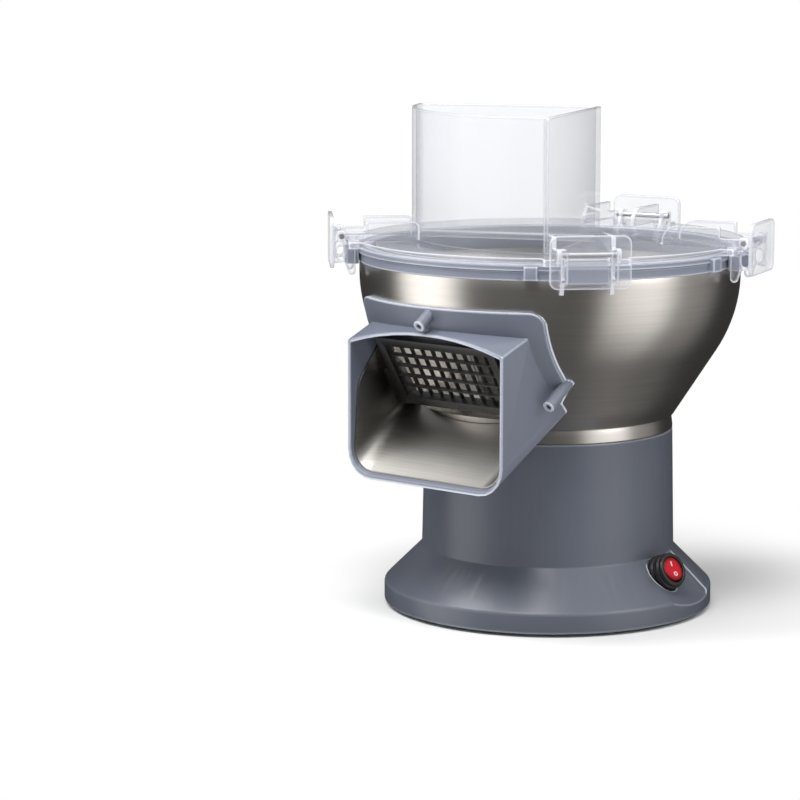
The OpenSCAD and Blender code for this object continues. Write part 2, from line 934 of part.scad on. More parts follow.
module on_boss(x, z) {
    translate([x, -skin_y(x, z), z])
        rotate([90 + bowl_slope, 0, 0])
            translate([0, 0, -boss_in])
                children();
}

// The screw bosses lean as the bowl's cone does
module chute_bosses(r, gain) {
    on_boss(0, boss_top_z)
        cylinder(r = r, h = boss_in + boss_top_l + gain, $fn = 48);
    for (side = [-1, 1])
        on_boss(side * boss_side_x, boss_side_z)
            cylinder(r = r, h = boss_in + boss_side_l + gain, $fn = 48);
}

module chute() {
    color(GREY)
    difference() {
        union() {
            chute_form(0);
            intersection() {
                bowl_solid(flange_t);
                cross_plate(0, mouth_y)
                    flange_outline();
            }
            chute_bosses(boss_r, 0);
        }
        chute_form(chute_wall, 1);
        bowl_solid(SEAT);
        drum_space();
        chute_bosses(boss_bore, 1);
    }
}

// How far the liner's front edge lies behind the mouth, from its foot at 0 to its top at 1
function liner_edge(t) = let (u = max(0, (t - 0.6) / 0.4))
    liner_front + liner_lean * t + liner_back * u * u * (3 - 2 * u);

// Side view of what is cut from the liner, whose front edge sweeps back towards the top
module liner_cut() {
    n = 20;
    rotate([90, 0, 90])
        translate([0, 0, -mouth_w])
            linear_extrude(2 * mouth_w)
                polygon(concat([for (i = [0 : n]) [-mouth_y + liner_edge(i / n),
                                                   mouth_low_z + (liner_high_z - mouth_low_z) * i / n]],
                               [[0, liner_high_z], [0, flange_high_z * 2], [-2 * mouth_y, flange_high_z * 2],
                                [-2 * mouth_y, 0], [-mouth_y + liner_front, 0]]));
}

module chute_liner() {
    color(STEEL)
    difference() {
        chute_form(chute_wall + liner_gap, 1);
        chute_form(chute_wall + liner_gap + liner_t, 1);
        bowl_solid(AIR);
        drum_space();
        liner_cut();
    }
}

module chute_screws() {
    color(STEEL)
    difference() {
        chute_bosses(boss_bore - SEAT, -boss_recess);
        bowl_solid(SEAT);
    }
}

// LID AND HOPPER

// The hopper's quarter-round plan, this far inside its outer wall
module hopper_plan(inset) {
    shift = inset / sin(hopper_sweep / 2);
    far = hopper_r * 1.6;
    translate([hopper_x, hopper_y])
        intersection() {
            circle(r = hopper_r - inset, $fn = 180);
            translate(shift * [cos(hopper_mid), sin(hopper_mid)])
                polygon([[0, 0], far * [cos(hopper_a), sin(hopper_a)], far * [cos(hopper_mid), sin(hopper_mid)],
                         far * [cos(hopper_a - hopper_sweep), sin(hopper_a - hopper_sweep)]]);
        }
}

// Outline of a latch web on the lid: a long plate with a round inner end, and a boss for the pin
module web_outline() {
    difference() {
        union() {
            polygon(concat(arc([web_in + web_round, lid_top + web_h - web_round], web_round, 180, 90, 6),
                           [[latch_pin_r - web_end, lid_top + web_h],
                            [latch_pin_r - web_end, pin_z + pin_boss_r * 0.7],
                            [latch_pin_r, pin_z + pin_boss_r * 0.7], [latch_pin_r, lid_z + lid_t / 2],
                            [web_in, lid_z + lid_t / 2]]));
            translate([latch_pin_r, pin_z])
                circle(r = pin_boss_r, $fn = 48);
        }
        translate([latch_pin_r, pin_z])
            circle(r = pin_r + SEAT, $fn = 48);
    }
}

// The lid's disc with a tab under each latch
module lid_plan() {
    circle(r = lid_r, $fn = 240);
    for (a = latch_angles)
        rotate(a)
            translate([0, -tab_w / 2])
                square([tab_out, tab_w]);
}

module lid() {
    color(CLEAR, 0.4)
    difference() {
        union() {
            translate([0, 0, lid_z])
                linear_extrude(lid_t)
                    lid_plan();
            translate([0, 0, lid_z - lid_lip_h])
                rotate_extrude($fn = 240)
                    translate([lid_lip_out - clear_t, 0])
                        square([clear_t, lid_lip_h + 1]);
            difference() {
                for (a = latch_angles)
                    at_latch(a)
                        for (s = [-1, 1])
                            radial_plate(s * (web_x + clear_t / 2), clear_t)
                                web_outline();
                translate([0, 0, lid_top])
                    linear_extrude(hopper_h)
                        hopper_plan(-SEAT);
            }
        }
        translate([0, 0, lid_z - 1])
            linear_extrude(lid_t + 2)
                hopper_plan(hopper_wall);
        for (a = latch_angles)
            at_latch(a)
                for (s = [-1, 1])
                    translate([prong_r - 3, s * (latch_gap + clear_t) / 2 - clear_t / 2 - AIR, lid_z - 1])
                        cube([3 * latch_out, clear_t + 2 * AIR, 2 * lid_t + web_h]);
    }
}

module feed_hopper() {
    color(CLEAR, 0.4)
    translate([0, 0, lid_top])
        linear_extrude(hopper_h)
            difference() {
                hopper_plan(0);
                hopper_plan(hopper_wall);
            }
}

module latch_pins() {
    color(STEEL)
    for (a = latch_angles)
        at_latch(a)
            translate([latch_pin_r, 0, pin_z])
                rotate([90, 0, 0])
                    translate([0, 0, -web_x - clear_t])
                        cylinder(r = pin_r, h = 2 * (web_x + clear_t), $fn = 48);
}

// Side view of a latch cheek: it hangs on the pin and runs down to a prong beside the ring's lug
module cheek_outline() {
    difference() {
        union() {
            translate([latch_pin_r, pin_z])
                circle(r = pin_boss_r, $fn = 48);
            polygon(concat([[latch_pin_r, pin_z + pin_boss_r - 1], [finger_r + 1, pin_z + pin_boss_r - 1],
                            [finger_r + 1, finger_z + 3], [latch_pin_r - 2, finger_z + 4]],
                           arc([prong_r + prong_w / 2, finger_z - prong_drop], prong_w / 2, 0, -180, 6),
                           [[prong_r, lid_z - 1], [latch_pin_r - 4, pin_z - 1]]));
        }
        translate([latch_pin_r, pin_z])
            circle(r = pin_r + RUN, $fn = 48);
        hull()
            for (z = [finger_z + 9, pin_z - 11])
                translate([latch_pin_r + 0.5, z])
                    circle(r = 3, $fn = 24);
    }
}

module latch() {
    color(CLEAR, 0.4)
    union() {
        translate([finger_r + clear_t, 0, finger_z])
            rotate([90, 0, -90])
                linear_extrude(clear_t)
                    polygon(concat(arc([-finger_w / 2 + 6, 6], 6, 180, 270, 4),
                                   arc([finger_w / 2 - 6, 6], 6, 270, 360, 4),
                                   arc([finger_w / 2 - 6, finger_h - 6], 6, 0, 90, 4),
                                   arc([-finger_w / 2 + 6, finger_h - 6], 6, 90, 180, 4)));
        for (s = [-1, 1])
            radial_plate(s * (latch_gap + clear_t) / 2, clear_t)
                cheek_outline();
    }
}

module latch_left() { at_latch(latch_angles[0]) latch(); }
module latch_front() { at_latch(latch_angles[1]) latch(); }
module latch_right() { at_latch(latch_angles[2]) latch(); }
module latch_back() { at_latch(latch_angles[3]) latch(); }

// SWITCH

module switch_boot() {
    color(BLACK)
    on_switch()
        difference() {
            union() {
                rotate_extrude()
                    polygon([[0, -boot_l], [boot_r, -boot_l], [boot_r, -boot_l * 0.72], [boot_r - 1.4, -boot_l * 0.66],
                             [boot_r - 1.4, -boot_l * 0.56], [boot_r - 0.4, -boot_l * 0.5], [boot_r - 0.4, -boot_l * 0.3],
                             [boot_r - 1.8, -boot_l * 0.24], [boot_r - 1.8, -boot_l * 0.12], [boot_r - 1.2, -1.4],
                             [boot_r - 2.2, 0], [0, 0]]);
                translate([0, 0, -boot_l - switch_body_l])
                    cylinder(r = switch_body_r, h = switch_body_l + 1);
            }
            translate([0, 0, -rocker_deep - 5])
                cylinder(r = rocker_bore, h = 20);
            translate([0, 0, -rocker_deep])
                rotate([90, 0, 0])
                    translate([0, 0, -rocker_bore - 1.5])
                        cylinder(r = trunnion_r + RUN, h = 2 * rocker_bore + 3, $fn = 32);
        }
}

module switch_rocker() {
    color("#c40f22")
    on_switch()
        translate([0, 0, -rocker_deep])
            rotate([0, -rocker_half, 0]) {
                intersection() {
                    translate([0, 0, -2.6])
                        cylinder(r = rocker_r, h = 10);
                    rotate([90, 0, 0])
                        translate([0, 0, -20])
                            linear_extrude(40)
                                polygon([[-12, -2.6], [12, -2.6], [12, 3.4 + 12 * tan(rocker_half)], [0, 3.4],
                                         [-12, 3.4 + 12 * tan(rocker_half)]]);
                }
                rotate([90, 0, 0])
                    translate([0, 0, -rocker_bore - trunnion_l])
                        cylinder(r = trunnion_r, h = 2 * (rocker_bore + trunnion_l), $fn = 32);
            }
}

base_housing();
base_plate();
rubber_foot_ring();
base_screws();
cable_gland();
gear_carrier();
carrier_screws();
motor();
motor_pinion();
spindle();
spindle_gear();
lower_bearing();
upper_bearing();
bearing_tower();
shaft_seal();
bowl_collar();
bowl();
rim_ring();
latch_keepers();
rim_gasket();
rotor_plate();
pusher_vanes();
rotor_nut();
knife_grid_frame();
upright_knives();
cross_knives();
chute();
chute_liner();
chute_screws();
lid();
feed_hopper();
latch_pins();
latch_left();
latch_front();
latch_right();
latch_back();
switch_boot();
switch_rocker();
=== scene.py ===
# %% [markdown]
# # Dressing a vegetable dicer
# The CAD model gives every solid its place and size. This lesson adds the looks: soft edges, real finishes,
# small marks, light and a camera. The CAD stays as it is, and each new piece rides on one of its bodies, so the
# dressed machine moves with the same joints.

import json
import math

import bmesh
import bpy
from mathutils import Matrix, Vector


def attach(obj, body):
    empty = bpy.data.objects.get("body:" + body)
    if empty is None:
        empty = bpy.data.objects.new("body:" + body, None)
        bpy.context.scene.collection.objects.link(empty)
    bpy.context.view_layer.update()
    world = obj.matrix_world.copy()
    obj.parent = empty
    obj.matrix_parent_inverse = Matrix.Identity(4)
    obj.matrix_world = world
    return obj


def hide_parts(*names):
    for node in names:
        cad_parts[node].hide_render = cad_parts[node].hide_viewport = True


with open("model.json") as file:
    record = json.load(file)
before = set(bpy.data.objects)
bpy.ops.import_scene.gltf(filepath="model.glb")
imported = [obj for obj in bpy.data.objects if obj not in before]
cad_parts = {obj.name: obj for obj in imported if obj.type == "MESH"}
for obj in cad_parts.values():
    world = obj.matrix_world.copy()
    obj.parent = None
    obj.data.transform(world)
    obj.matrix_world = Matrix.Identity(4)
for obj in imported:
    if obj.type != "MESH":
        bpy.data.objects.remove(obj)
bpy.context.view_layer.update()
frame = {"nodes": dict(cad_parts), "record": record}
scene = bpy.context.scene
scene.view_settings.view_transform = "Standard"
MM = 0.001

# %% [markdown]
# ## Camera
# The photo was taken with a long lens from a little above the bowl, which keeps the drum's sides nearly parallel.
# A camera can be moved by eye until the outlines meet. Here its place and angles come from fitting circles of known
# height to the round rims, because that gives the distance, the height and the tilt all at once.

# %% Camera
FRONT_TURN = math.radians(37)
PITCH = math.radians(9.11)
YAW = math.radians(2.87)
STAND_BACK = 2.313
EYE_HEIGHT = 0.530
LENS_MM = 135
SENSOR_MM = 36

camera_data = bpy.data.cameras.new("camera")
camera_data.sensor_width = SENSOR_MM
camera_data.lens = LENS_MM
camera_data.clip_end = 100
camera = bpy.data.objects.new("camera", camera_data)
scene.collection.objects.link(camera)
scene.camera = camera
turn = Matrix.Rotation(FRONT_TURN, 4, "Z")
camera.location = turn @ Vector((0, -STAND_BACK, EYE_HEIGHT))
aim = turn @ Vector((-math.sin(YAW) * math.cos(PITCH), math.cos(YAW) * math.cos(PITCH), -math.sin(PITCH)))
camera.rotation_euler = aim.to_track_quat("-Z", "Y").to_euler()
print("camera at", tuple(round(v, 3) for v in camera.location))

# %% [markdown]
# ## Node helpers
# A material is a small graph of nodes. Building one by hand takes three lines for each node, so a few helpers keep
# the graphs readable. `add` makes a node and fills its inputs, and an input may be a number or another node's
# socket. The others are `add` with one kind of node in mind: a sum, a change of range, a mix of two colours.

# %% Node helpers
def feed(tree, value, socket):
    if isinstance(value, bpy.types.NodeSocket):
        tree.links.new(value, socket)
    else:
        socket.default_value = value


def fill(tree, node, **inputs):
    for name, value in inputs.items():
        feed(tree, value, node.inputs[name.replace("_", " ")])


def add(tree, kind, place=(0, 0), **inputs):
    node = tree.nodes.new("ShaderNode" + kind)
    node.location = place
    fill(tree, node, **inputs)
    return node


def maths(tree, operation, a, b, place=(0, 0)):
    node = add(tree, "Math", place)
    node.operation = operation
    feed(tree, a, node.inputs[0])
    feed(tree, b, node.inputs[1])
    return node.outputs[0]


def vector_maths(tree, operation, a, b=None, place=(0, 0)):
    node = add(tree, "VectorMath", place)
    node.operation = operation
    feed(tree, a, node.inputs[0])
    if b is not None:
        feed(tree, b, node.inputs[1])
    return node


def map_range(tree, value, place, smooth=False, **limits):
    node = add(tree, "MapRange", place, Value=value, **limits)
    if smooth:
        node.interpolation_type = "SMOOTHSTEP"
    return node.outputs["Result"]


def mix_colour(tree, mask, first, second, place):
    node = add(tree, "Mix", place)
    node.data_type = "RGBA"
    feed(tree, mask, node.inputs["Factor"])
    for colour, socket in ((first, node.inputs["A"]), (second, node.inputs["B"])):
        feed(tree, colour if isinstance(colour, bpy.types.NodeSocket) else (*colour, 1), socket)
    return node.outputs["Result"]


print("node helpers ready")

# %% [markdown]
# A material starts from its Principled shader. An effect that several materials share is a node group: it is built
# once, its inputs have names, and each material places it with its own values.

# %% Materials and groups
def new_material(name, **values):
    material = bpy.data.materials.new(name)
    material.use_nodes = True
    tree = material.node_tree
    shader = tree.nodes["Principled BSDF"]
    fill(tree, shader, **values)
    return material, tree, shader


def new_group(name, inputs, outputs):
    group = bpy.data.node_groups.new(name, "ShaderNodeTree")
    for label, kind, value in inputs:
        socket = group.interface.new_socket(name=label, in_out="INPUT", socket_type="NodeSocket" + kind)
        socket.default_value = value
    for label in outputs:
        group.interface.new_socket(name=label, in_out="OUTPUT", socket_type="NodeSocketFloat")
    entry = group.nodes.new("NodeGroupInput")
    leave = group.nodes.new("NodeGroupOutput")
    entry.location = (-900, 0)
    leave.location = (600, 0)
    return group, entry.outputs, leave


def place_group(tree, group, place, **inputs):
    node = add(tree, "Group", place)
    node.node_tree = group
    fill(tree, node, **inputs)
    return node.outputs


def on_object(tree):
    return add(tree, "TexCoord", (-1300, 200)).outputs["Object"]


print("materials and groups ready")

# %% [markdown]
# ## Moulded grain
# A moulded or painted skin has a fine grain that breaks up its shine. It could be modelled, at the price of millions
# of faces. A noise of real size does it here: its height feeds a bump, and a mask lets the tone follow the grain.

# %% Moulded grain
grain_group, given, leave = new_group("moulded_grain", [("Size", "Float", 0.0012)], ["Height", "Mask"])
tree = grain_group
per_metre = maths(tree, "DIVIDE", 1.0, given["Size"], (-700, 0))
grain = add(tree, "TexNoise", (-400, 100), Vector=on_object(tree), Scale=per_metre, Detail=3.0, Roughness=0.55)
fill(tree, leave, Height=grain.outputs["Fac"],
     Mask=map_range(tree, grain.outputs["Fac"], (0, -200), From_Min=0.35, From_Max=0.65))
print("group:", grain_group.name)

# %% [markdown]
# ## Handling smudges
# Hands and cloths leave soft patches where a surface shines a little more or less. They could be painted on a
# texture, but then each piece would need its own. A slow noise moves the roughness between two limits instead.

# %% Handling smudges
smudge_group, given, leave = new_group(
    "handling_smudges",
    [("Size", "Float", 0.05), ("Low", "Float", 0.35), ("High", "Float", 0.45)],
    ["Roughness", "Mask"],
)
tree = smudge_group
per_metre = maths(tree, "DIVIDE", 1.0, given["Size"], (-700, 0))
cloud = add(tree, "TexNoise", (-400, 100), Vector=on_object(tree), Scale=per_metre, Detail=3.0, Roughness=0.5)
soft = map_range(tree, cloud.outputs["Fac"], (-100, 0), True, From_Min=0.2, From_Max=0.8)
fill(tree, leave, Mask=soft,
     Roughness=map_range(tree, soft, (200, 0), To_Min=given["Low"], To_Max=given["High"]))
print("group:", smudge_group.name)

# %% [markdown]
# ## Spun rings
# The bowl was pressed to shape while it turned, and the tool left fine rings round it. An image could be wrapped
# round the bowl, but it would show a seam. A noise read by angle and height needs no unwrapping: it changes slowly
# round the axis and quickly up it, so it draws rings, and the step where its two ends meet is too fine to show.

# %% Spun rings
RING_DRIFT = 1.6

spun_group, given, leave = new_group("spun_rings", [("Pitch", "Float", 0.0008)], ["Height", "Mask"])
tree = spun_group
point = add(tree, "SeparateXYZ", (-1100, 200), Vector=on_object(tree)).outputs
angle = maths(tree, "ARCTAN2", point["Y"], point["X"], (-900, 300))
rings_at = add(tree, "CombineXYZ", (-500, 200), X=maths(tree, "MULTIPLY", angle, RING_DRIFT, (-700, 300)),
               Y=maths(tree, "DIVIDE", point["Z"], given["Pitch"], (-700, 100)))
rings = add(tree, "TexNoise", (-300, 200), Vector=rings_at.outputs[0], Scale=1.0, Detail=3.0, Roughness=0.6)
fill(tree, leave, Height=rings.outputs["Fac"],
     Mask=map_range(tree, rings.outputs["Fac"], (0, 0), From_Min=0.3, From_Max=0.7))
print("group:", spun_group.name)

# %% [markdown]
# ## Grinding lines
# Blades are ground, and the wheel leaves straight scratches. They are the same noise again, stretched along one
# axis of the piece.

# %% Grinding lines
ground_group, given, leave = new_group(
    "grinding_lines", [("Stretch", "Vector", (1.0, 1.0, 0.03)), ("Size", "Float", 0.0008)], ["Height", "Mask"])
tree = ground_group
stretched = vector_maths(tree, "MULTIPLY", on_object(tree), given["Stretch"], (-800, 200)).outputs[0]
per_metre = maths(tree, "DIVIDE", 1.0, given["Size"], (-800, -100))
lines = add(tree, "TexNoise", (-400, 200), Vector=stretched, Scale=per_metre, Detail=2.0, Roughness=0.5)
fill(tree, leave, Height=lines.outputs["Fac"],
     Mask=map_range(tree, lines.outputs["Fac"], (0, 0), From_Min=0.3, From_Max=0.7))
print("group:", ground_group.name)

# %% [markdown]
# ## Painted edge light
# On paint and clear sheet alike an edge gets another tone than the face beside it, a painted highlight or painted
# shade that stands in for the light an edge catches. Strips of faces could carry a second finish, but the small
# faces of a CAD mesh make such strips ragged. Looking for the surface from inside the piece is steadier: near an
# edge, rays that leave the surface inwards soon meet the other side.

# %% Painted edge light
DEEP_INSIDE = 0.96
AT_THE_EDGE = 0.68

edge_group, given, leave = new_group("edge_light_and_shade", [("Reach", "Float", 0.0015)], ["Mask"])
inside = add(edge_group, "AmbientOcclusion", (-500, 0), Distance=given["Reach"])
inside.inside = inside.only_local = True
inside.samples = 8
fill(edge_group, leave, Mask=map_range(edge_group, inside.outputs["AO"], (-200, 0),
                                       From_Min=DEEP_INSIDE, From_Max=AT_THE_EDGE))


# The mask for painted edge highlights and painted edge shade, found from the shape of the piece.
def painted_edge_mask(tree, reach):
    return place_group(tree, edge_group, (-700, 500), Reach=reach)["Mask"]


print("groups:", [g.name for g in bpy.data.node_groups])

# %% [markdown]
# ## Painted and moulded greys
# The base, the chute and the rim ring are grey mouldings with a satin skin, each a little lighter than the one below
# it. One flat colour would look like a drawing. Each grey mixes two close tones, lets the roughness wander, takes a
# fine bump and gets a painted highlight along its edges. The bump's depth is a real length, so it can be read off
# directly. The dark paint of the motor is made in the same way, without the painted edge highlight.

# %% Greys
PAINT_EDGE = 1.8 * MM


def relief(tree, height, depth):
    return add(tree, "Bump", (-250, -300), Strength=1.0, Distance=depth, Height=height).outputs["Normal"]


def satin_paint(name, dark, light, roughness, grain_size, grain_depth, coat=0.0, edge=None):
    material, tree, shader = new_material(name, Coat_Weight=coat, Coat_Roughness=0.25, IOR=1.46)
    smudge = place_group(tree, smudge_group, (-700, 100), Size=0.09, Low=roughness[0], High=roughness[1])
    peel = place_group(tree, grain_group, (-700, -300), Size=grain_size)
    colour = mix_colour(tree, smudge["Mask"], dark, light, (-300, 300))
    # Painted highlight: where an edge colour is given, the edge mask lightens the colour along each edge.
    if edge:
        colour = mix_colour(tree, painted_edge_mask(tree, PAINT_EDGE), colour, edge, (-100, 500))
    fill(tree, shader, Base_Color=colour, Roughness=smudge["Roughness"],
         Normal=relief(tree, peel["Height"], grain_depth))
    return material


# The edge colours below are painted highlights along the edges.
base_grey = satin_paint("base_grey", (0.094, 0.105, 0.134), (0.103, 0.115, 0.146), (0.32, 0.40),
                        grain_size=1.6 * MM, grain_depth=0.03 * MM, coat=0.15, edge=(0.68, 0.71, 0.76))
chute_grey = satin_paint("chute_grey", (0.140, 0.156, 0.201), (0.152, 0.169, 0.216), (0.34, 0.42),
                         grain_size=0.9 * MM, grain_depth=0.03 * MM, edge=(0.62, 0.66, 0.74))
ring_grey = satin_paint("ring_grey", (0.212, 0.233, 0.296), (0.228, 0.250, 0.314), (0.32, 0.40),
                        grain_size=1.0 * MM, grain_depth=0.02 * MM, edge=(0.58, 0.61, 0.68))
motor_dark = satin_paint("motor_dark", (0.020, 0.020, 0.022), (0.032, 0.032, 0.034), (0.40, 0.55),
                         grain_size=2.0 * MM, grain_depth=0.08 * MM)
print("greys made")

# %% [markdown]
# ## Metals
# Steel is told by how it spreads reflections. The rings on the bowl stretch each reflection up and down. Real rings
# would be far too fine for the picture, so anisotropy along a radial tangent does the stretching, and the pattern of
# rings adds a slight tint and bump. The blades and pins have straight lines, the cast and turned pieces a grain.

# %% Metal helper
QUARTER_TURN = 0.25


def steel(name, dark, light, roughness, pattern, depth, anisotropy=0.0, **pattern_values):
    material, tree, shader = new_material(name, Metallic=1.0, Anisotropic=anisotropy,
                                          Anisotropic_Rotation=QUARTER_TURN)
    if anisotropy:
        tangent = add(tree, "Tangent", (-300, -550))
        tangent.direction_type = "RADIAL"
        tangent.axis = "Z"
        fill(tree, shader, Tangent=tangent.outputs[0])
    smudge = place_group(tree, smudge_group, (-700, 100), Size=0.07, Low=roughness[0], High=roughness[1])
    marks = place_group(tree, pattern, (-700, -300), **pattern_values)
    fill(tree, shader, Base_Color=mix_colour(tree, marks["Mask"], dark, light, (-300, 300)),
         Roughness=smudge["Roughness"], Normal=relief(tree, marks["Height"], depth))
    return material


print("metal helper ready")

# %% [markdown]
# The bowl is the brightest of the large metal pieces. The liner, which faces the light, and the knives behind it are
# painted darker, as painted shade that keeps the mouth of the chute deep. The bowl's roughness starts at 0.28: the
# denoiser treats metal that is a little smoother as a mirror, and a line would show where the roughness crossed that
# limit.

# %% Metals
bowl_steel = steel("bowl_steel", (0.60, 0.575, 0.545), (0.66, 0.635, 0.605), (0.28, 0.32),
                   spun_group, 0.002 * MM, anisotropy=0.5, Pitch=2.4 * MM)
# Painted shade: the liner is darker than its steel so that the mouth of the chute looks deep.
liner_steel_painted_shade = steel("liner_steel_painted_shade", (0.30, 0.29, 0.275), (0.35, 0.34, 0.32), (0.36, 0.46), spun_group, 0.002 * MM)
blade_steel = steel("blade_steel", (0.36, 0.35, 0.335), (0.43, 0.42, 0.40), (0.28, 0.36), ground_group, 0.003 * MM)
# Painted shade: the knives are nearly black so that they read as lying in the dark mouth.
knife_steel_painted_shade = steel("knife_steel_painted_shade", (0.085, 0.085, 0.085), (0.12, 0.12, 0.118), (0.34, 0.42),
                    ground_group, 0.003 * MM)
pin_steel = steel("pin_steel", (0.72, 0.72, 0.74), (0.80, 0.80, 0.82), (0.40, 0.50), ground_group, 0.002 * MM)
screw_black = steel("screw_black", (0.03, 0.03, 0.032), (0.05, 0.05, 0.052), (0.40, 0.50),
                    grain_group, 0.01 * MM, Size=0.8 * MM)
drive_steel = steel("drive_steel", (0.42, 0.42, 0.43), (0.50, 0.50, 0.51), (0.28, 0.38),
                    grain_group, 0.01 * MM, Size=0.8 * MM)
tower_alloy = steel("tower_alloy", (0.52, 0.53, 0.54), (0.60, 0.61, 0.62), (0.38, 0.50),
                    grain_group, 0.04 * MM, Size=1.1 * MM)
print("metals made")

# %% [markdown]
# ## Clear plastic
# The lid, the hopper and the latches are clear sheet. Face on it is nearly invisible, and it shows at a slant and by
# its edges. True glass would bend the light in every thin wall and grow dark where walls overlap. Here the alpha
# says how much of the sheet is seen, and Layer Weight raises it towards the slant. The edge mask paints a bright line
# along each edge, a painted highlight for light that has travelled in the sheet and comes out there, and a dark band
# beside it, painted shade for the dark surroundings that the edge bends into view.

# %% Clear plastic
FACE_ON, AT_A_SLANT = 0.08, 0.36
CLEAR_EDGE = 2.6 * MM
BAND_SEEN = 0.9

clear_plastic, tree, shader = new_material("clear_plastic", IOR=1.5, Coat_Weight=0.4, Coat_Roughness=0.03)
smudge = place_group(tree, smudge_group, (-700, 100), Size=0.06, Low=0.03, High=0.07)
band = painted_edge_mask(tree, CLEAR_EDGE)
line = map_range(tree, band, (100, 700), From_Min=0.62, From_Max=0.86)
sheet = mix_colour(tree, smudge["Mask"], (0.68, 0.70, 0.78), (0.76, 0.78, 0.86), (-300, 300))
# Painted shade: a dark band along the edges of the sheet.
painted_shade_band = mix_colour(tree, band, sheet, (0.08, 0.09, 0.16), (-100, 500))
# Painted highlight: a bright line at the very edge of the sheet.
painted_edge_highlight = mix_colour(tree, line, painted_shade_band, (0.92, 0.93, 0.98), (300, 500))
slant = add(tree, "LayerWeight", (-700, -300), Blend=0.35).outputs["Facing"]
seen = map_range(tree, slant, (-400, -300), To_Min=FACE_ON, To_Max=AT_A_SLANT)
fill(tree, shader, Base_Color=painted_edge_highlight, Roughness=smudge["Roughness"],
     Alpha=maths(tree, "MAXIMUM", seen, maths(tree, "MULTIPLY", band, BAND_SEEN)))
print("clear plastic made")

# %% [markdown]
# ## Rubber
# The boot round the switch, the foot ring and the gasket are soft mouldings. Rubber and plastic differ mainly in
# roughness, so one helper makes them all, and the white inlay of the switch marks too.

# %% Rubber
def rubber(name, dark, light, roughness):
    material, tree, shader = new_material(name, Specular_IOR_Level=0.4)
    smudge = place_group(tree, smudge_group, (-700, 100), Size=0.02, Low=roughness[0], High=roughness[1])
    skin = place_group(tree, grain_group, (-700, -300), Size=0.6 * MM)
    fill(tree, shader, Base_Color=mix_colour(tree, skin["Mask"], dark, light, (-300, 300)),
         Roughness=smudge["Roughness"], Normal=relief(tree, skin["Height"], 0.03 * MM))
    return material


black_rubber = rubber("black_rubber", (0.018, 0.018, 0.019), (0.030, 0.030, 0.031), (0.55, 0.70))
boot_black = rubber("boot_black", (0.012, 0.012, 0.013), (0.020, 0.020, 0.022), (0.30, 0.42))
gasket_pale = rubber("gasket_pale", (0.50, 0.52, 0.57), (0.56, 0.58, 0.63), (0.40, 0.50))
mark_white = rubber("mark_white", (0.70, 0.70, 0.70), (0.80, 0.80, 0.79), (0.34, 0.44))
print("rubber made")

# %% [markdown]
# ## Red rocker
# The rocker is a red moulding that looks lit from within: bright in the middle and dark towards its rim. A glow would
# spill red light on the boot. The edge mask, with a long reach and a dark red, paints that fall of tone as painted
# shade towards the rim.

# %% Red rocker
ROCKER_SHADE_REACH = 3.0 * MM

rocker_red, tree, shader = new_material("rocker_red", Coat_Weight=0.12, Coat_Roughness=0.08, Specular_IOR_Level=0.25)
smudge = place_group(tree, smudge_group, (-700, 100), Size=0.006, Low=0.28, High=0.34)
face = mix_colour(tree, smudge["Mask"], (0.44, 0.003, 0.010), (0.58, 0.006, 0.014), (-300, 300))
# Painted shade: the edge mask darkens the rocker towards its rim.
fill(tree, shader, Roughness=smudge["Roughness"],
     Base_Color=mix_colour(tree, painted_edge_mask(tree, ROCKER_SHADE_REACH), face, (0.12, 0.001, 0.003), (-100, 500)))
print("rocker made")

# %% [markdown]
# ## Slots
# Every CAD node names a material slot, and a slot has the name of its finish. A few nodes share a slot with others
# but need another look, so they have a finish of their own.

# %% Slots
finishes = dict(
    base_grey=base_grey, chute_grey=chute_grey, ring_grey=ring_grey, motor_dark=motor_dark,
    bowl_steel=bowl_steel, blade_steel=blade_steel, drive_steel=drive_steel, tower_alloy=tower_alloy,
    clear_plastic=clear_plastic, rocker_red=rocker_red,
    black_rubber=black_rubber, boot_black=boot_black, gasket_pale=gasket_pale,
)
own_finish = dict(chute_liner=liner_steel_painted_shade, chute_screws=screw_black, latch_pins=pin_steel,
                  knife_grid_frame=knife_steel_painted_shade, upright_knives=knife_steel_painted_shade, cross_knives=knife_steel_painted_shade)
slot_of = {p["node"]: p["material_slot"] for p in frame["record"]["subparts"]}
body_of = {n: b for b, names in frame["record"]["behaviour"]["bodies"].items() for n in names}
for name, node in frame["nodes"].items():
    node.data.materials.clear()
    node.data.materials.append(own_finish.get(name, finishes[slot_of[name]]))
print("finishes:", sorted(finishes))

# %% [markdown]
# ## Pieces
# A new piece is a mesh that already lies in its place, on an object at the origin. It gets one finish, chosen by
# its slot unless it has one of its own, and rides on a body.

# %% Pieces
def mesh_from(bm, name):
    mesh = bpy.data.meshes.new(name)
    bm.to_mesh(mesh)
    bm.free()
    return mesh


def link_piece(name, mesh):
    piece = bpy.data.objects.new(name, mesh)
    scene.collection.objects.link(piece)
    return piece


def finish_piece(piece, body, slot, material=None):
    piece.data.materials.clear()
    piece.data.materials.append(material or finishes[slot])
    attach(piece, body)


print("piece helpers ready")

# %% [markdown]
# ## Runs of edge
# A CAD solid has knife-sharp edges, and no real edge is sharp: a cast, moulded or folded edge has a small radius
# that catches the light. A bevel makes it. One bevel call narrows all its edges to what the tightest spot allows, so
# the sharp edges are first sorted into runs that hang together, and each run is bevelled by itself.

# %% Runs of edge
def linked_runs(edges):
    runs = []
    left = dict.fromkeys(edges)
    while left:
        front = [next(iter(left))]
        del left[front[0]]
        run = []
        while front:
            edge = front.pop()
            run.append(edge)
            for near in (e for v in edge.verts for e in v.link_edges):
                if near in left:
                    del left[near]
                    front.append(near)
        runs.append(run)
    return runs


def span(run):
    points = [v.co for e in run for v in e.verts]
    return (Vector(map(max, zip(*points))) - Vector(map(min, zip(*points)))).length


